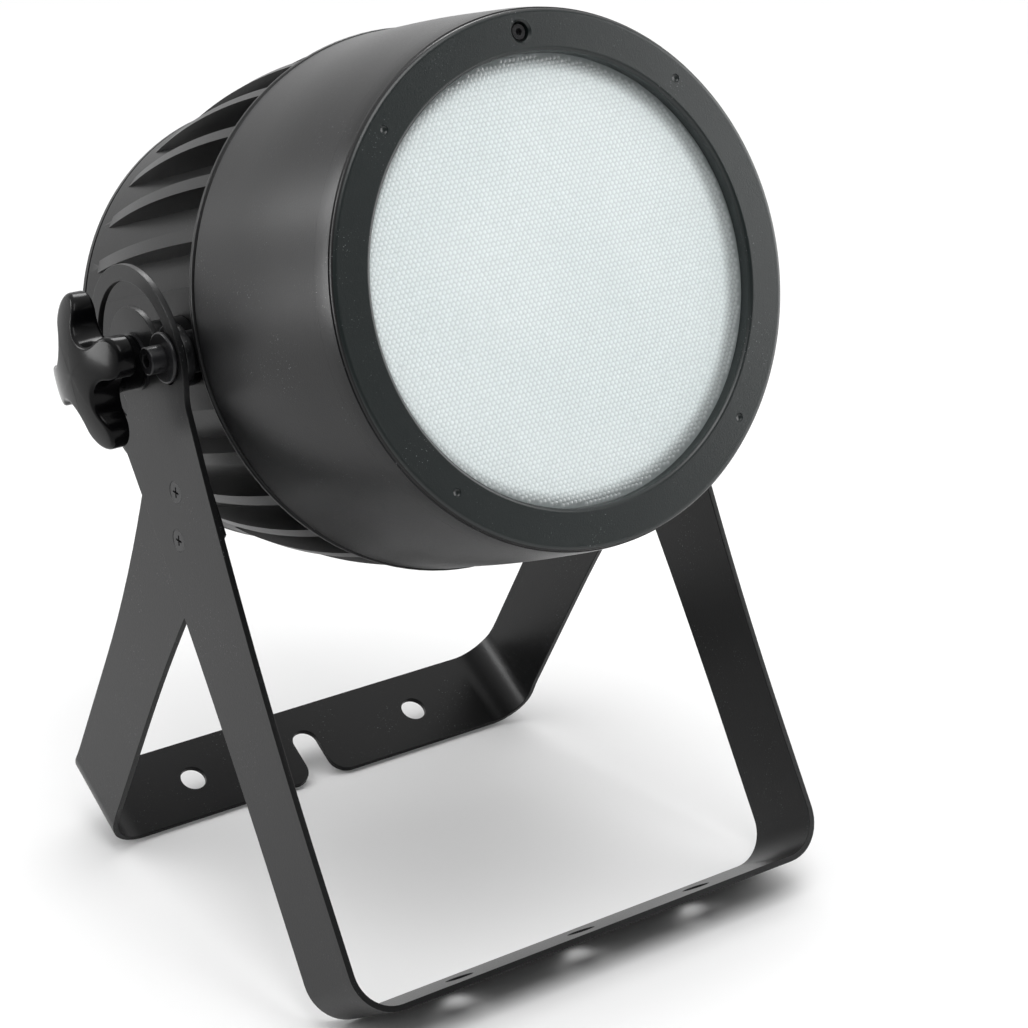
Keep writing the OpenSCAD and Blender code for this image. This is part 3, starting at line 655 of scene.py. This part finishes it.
def make_knob(name, side):
    low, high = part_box(name)
    top = max(abs(low.x), abs(high.x))
    near = min(abs(low.x), abs(high.x))
    outline = star_outline(KNOB_RADIUS, knob_span(name)[1])
    star_back = top - (KNOB_HEIGHT - KNOB_BACK_GAP)

    def place(point, out):
        return Vector((side * out, PIVOT.y + point.x, PIVOT.z + point.y))

    def domed(point, drop=0.0):
        return place(point, top - (KNOB_DOME - math.sqrt(KNOB_DOME ** 2 - point.length_squared)) - drop)

    circle = [point.normalized() for point, _ in outline]
    rings = [[place(way * reach, out) for way in circle] for reach, out in (
        (KNOB_BORE, near + KNOB_BORE_DEPTH), (KNOB_BORE, near + 0.4 * MM), (KNOB_BORE + 0.34 * MM, near),
        (KNOB_HUB - 0.6 * MM, near), (KNOB_HUB, near + 0.6 * MM), (KNOB_HUB, star_back - 6 * MM),
        (KNOB_HUB + 0.9 * MM, star_back - 2.6 * MM), (KNOB_WAIST - 1.9 * MM, star_back - 0.3 * MM))]
    for angle in (math.radians(k) for k in range(0, 91, 18)):
        inset, rise = EDGE_UNDER * (1 - math.sin(angle)), EDGE_UNDER * (1 - math.cos(angle))
        rings.append([place(point - way * inset, star_back + rise) for point, way in outline])
    for angle in (math.radians(k) for k in range(0, 91, 15)):
        inset, drop = EDGE_OVER * (1 - math.cos(angle)), EDGE_OVER * (1 - math.sin(angle))
        rings.append([domed(point - way * inset, drop) for point, way in outline])
    for share in (0.93, 0.82, 0.68, 0.52, 0.35, 0.18):
        rings.append([domed((point - way * EDGE_OVER) * share) for point, way in outline])
    middle = Vector((0, 0))
    mesh = mesh_from_rings(name, rings, place(middle, top), place(middle, near + KNOB_BORE_DEPTH))
    return add_piece(name + "_moulded", mesh, name, 40)


# ---------- stage ----------

FLOOR_SPAN, FLOOR_DROP = 12.0, 0.3 * MM
DIM_FRONT, WHITE_BACK, WHITE_TOP = 0.12, 1.0, 0.72


def make_floor():
    mesh = bpy.data.meshes.new("floor")
    corners = [(x * FLOOR_SPAN, y * FLOOR_SPAN, 0) for x, y in ((-1, -1), (1, -1), (1, 1), (-1, 1))]
    mesh.from_pydata(corners, [], [(0, 1, 2, 3)])
    floor = bpy.data.objects.new("floor", mesh)
    bpy.context.scene.collection.objects.link(floor)
    floor.location.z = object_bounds()[0][2] - FLOOR_DROP
    paper = Material("floor_paper")
    paper.set(Base_Color=paper.blend(paper.noise(3, 2), (0.86, 0.86, 0.86), (0.9, 0.9, 0.9)), Roughness=0.9)
    mesh.materials.append(paper.material)


def make_studio():
    """A world that is white behind and above the lamp and dim in front of it."""
    world = bpy.data.worlds.new("studio")
    bpy.context.scene.world = world
    world.use_nodes = True
    nodes, links = world.node_tree.nodes, world.node_tree.links
    axes = nodes.new("ShaderNodeSeparateXYZ")
    links.new(nodes.new("ShaderNodeTexCoord").outputs["Generated"], axes.inputs[0])

    def ramp(axis, start, end, low, high):
        spread = nodes.new("ShaderNodeMapRange")
        spread.interpolation_type = "SMOOTHSTEP"
        for key, value in (("From Min", start), ("From Max", end), ("To Min", low), ("To Max", high)):
            spread.inputs[key].default_value = value
        links.new(axes.outputs[axis], spread.inputs["Value"])
        return spread.outputs["Result"]

    total = nodes.new("ShaderNodeMath")
    total.operation = "ADD"
    links.new(ramp("Y", -0.55, 0.15, DIM_FRONT, WHITE_BACK), total.inputs[0])
    links.new(ramp("Z", 0.45, 0.9, 0, WHITE_TOP), total.inputs[1])
    links.new(total.outputs[0], nodes["Background"].inputs["Strength"])
    nodes["Background"].inputs["Color"].default_value = (1, 1, 1, 1)


def softbox(name, azimuth, elevation, distance, size, power, glossy_only=False):
    """A square area light aimed at the pivot; azimuth 0 is in front of it, in degrees."""
    a, e = math.radians(azimuth), math.radians(elevation)
    toward = Vector((math.sin(a) * math.cos(e), -math.cos(a) * math.cos(e), math.sin(e)))
    data = bpy.data.lights.new(name, "AREA")
    data.shape, data.size, data.energy = "SQUARE", size, power
    light = bpy.data.objects.new(name, data)
    bpy.context.scene.collection.objects.link(light)
    light.visible_camera = False
    light.visible_diffuse = not glossy_only
    light.location = PIVOT + toward * distance
    light.rotation_euler = toward.to_track_quat("Z", "Y").to_euler()


make_floor()
make_studio()
softbox("key", -10, 62, 2.2, 1.3, 26)
softbox("low_left", -120, 3, 2.0, 0.7, 19, glossy_only=True)
softbox("high_left", -138, 22, 2.0, 0.6, 11, glossy_only=True)
softbox("right", 60, 11, 2.0, 1.3, 28, glossy_only=True)
softbox("glint", 150, 50, 1.8, 0.6, 13, glossy_only=True)

# ---------- the pieces ----------

# How wide each CAD shape's edges are rounded, in millimetres. The data sockets keep their CAD shape.
ROUNDED = {
    "front_bracket": 0.4, "rear_bracket": 0.4, "heat_sink": 0.5,
    "bracket_screws": 0.15, "guide_screws": 0.3, "guide_washers": 0.9, "guide_spacers": 0.6,
    "pivot_bosses": 0.5, "ring_lock_screw": 0.2, "housing_screws": 0.25, "rear_cover": 0.4,
    "cover_screws": 0.25, "display_window": 0.3, "power_inlet": 0.3, "power_outlet": 0.3,
    "vent_plug": 0.3, "safety_loop": 0.5,
    "button_mode": 0.4, "button_up": 0.4, "button_down": 0.4, "button_enter": 0.4,
}

for node, width in ROUNDED.items():
    piece = edged(node, width * MM)
    if node == "heat_sink":
        piece.data.materials[0] = MATERIALS["fin_paint"]
make_housing()
make_ring()
make_lens()
make_knob("knob_left", -1)
make_knob("knob_right", 1)

for node, piece in NODES.items():
    piece.data.materials.clear()
    piece.data.materials.append(MATERIALS[SLOT_OF[node]])
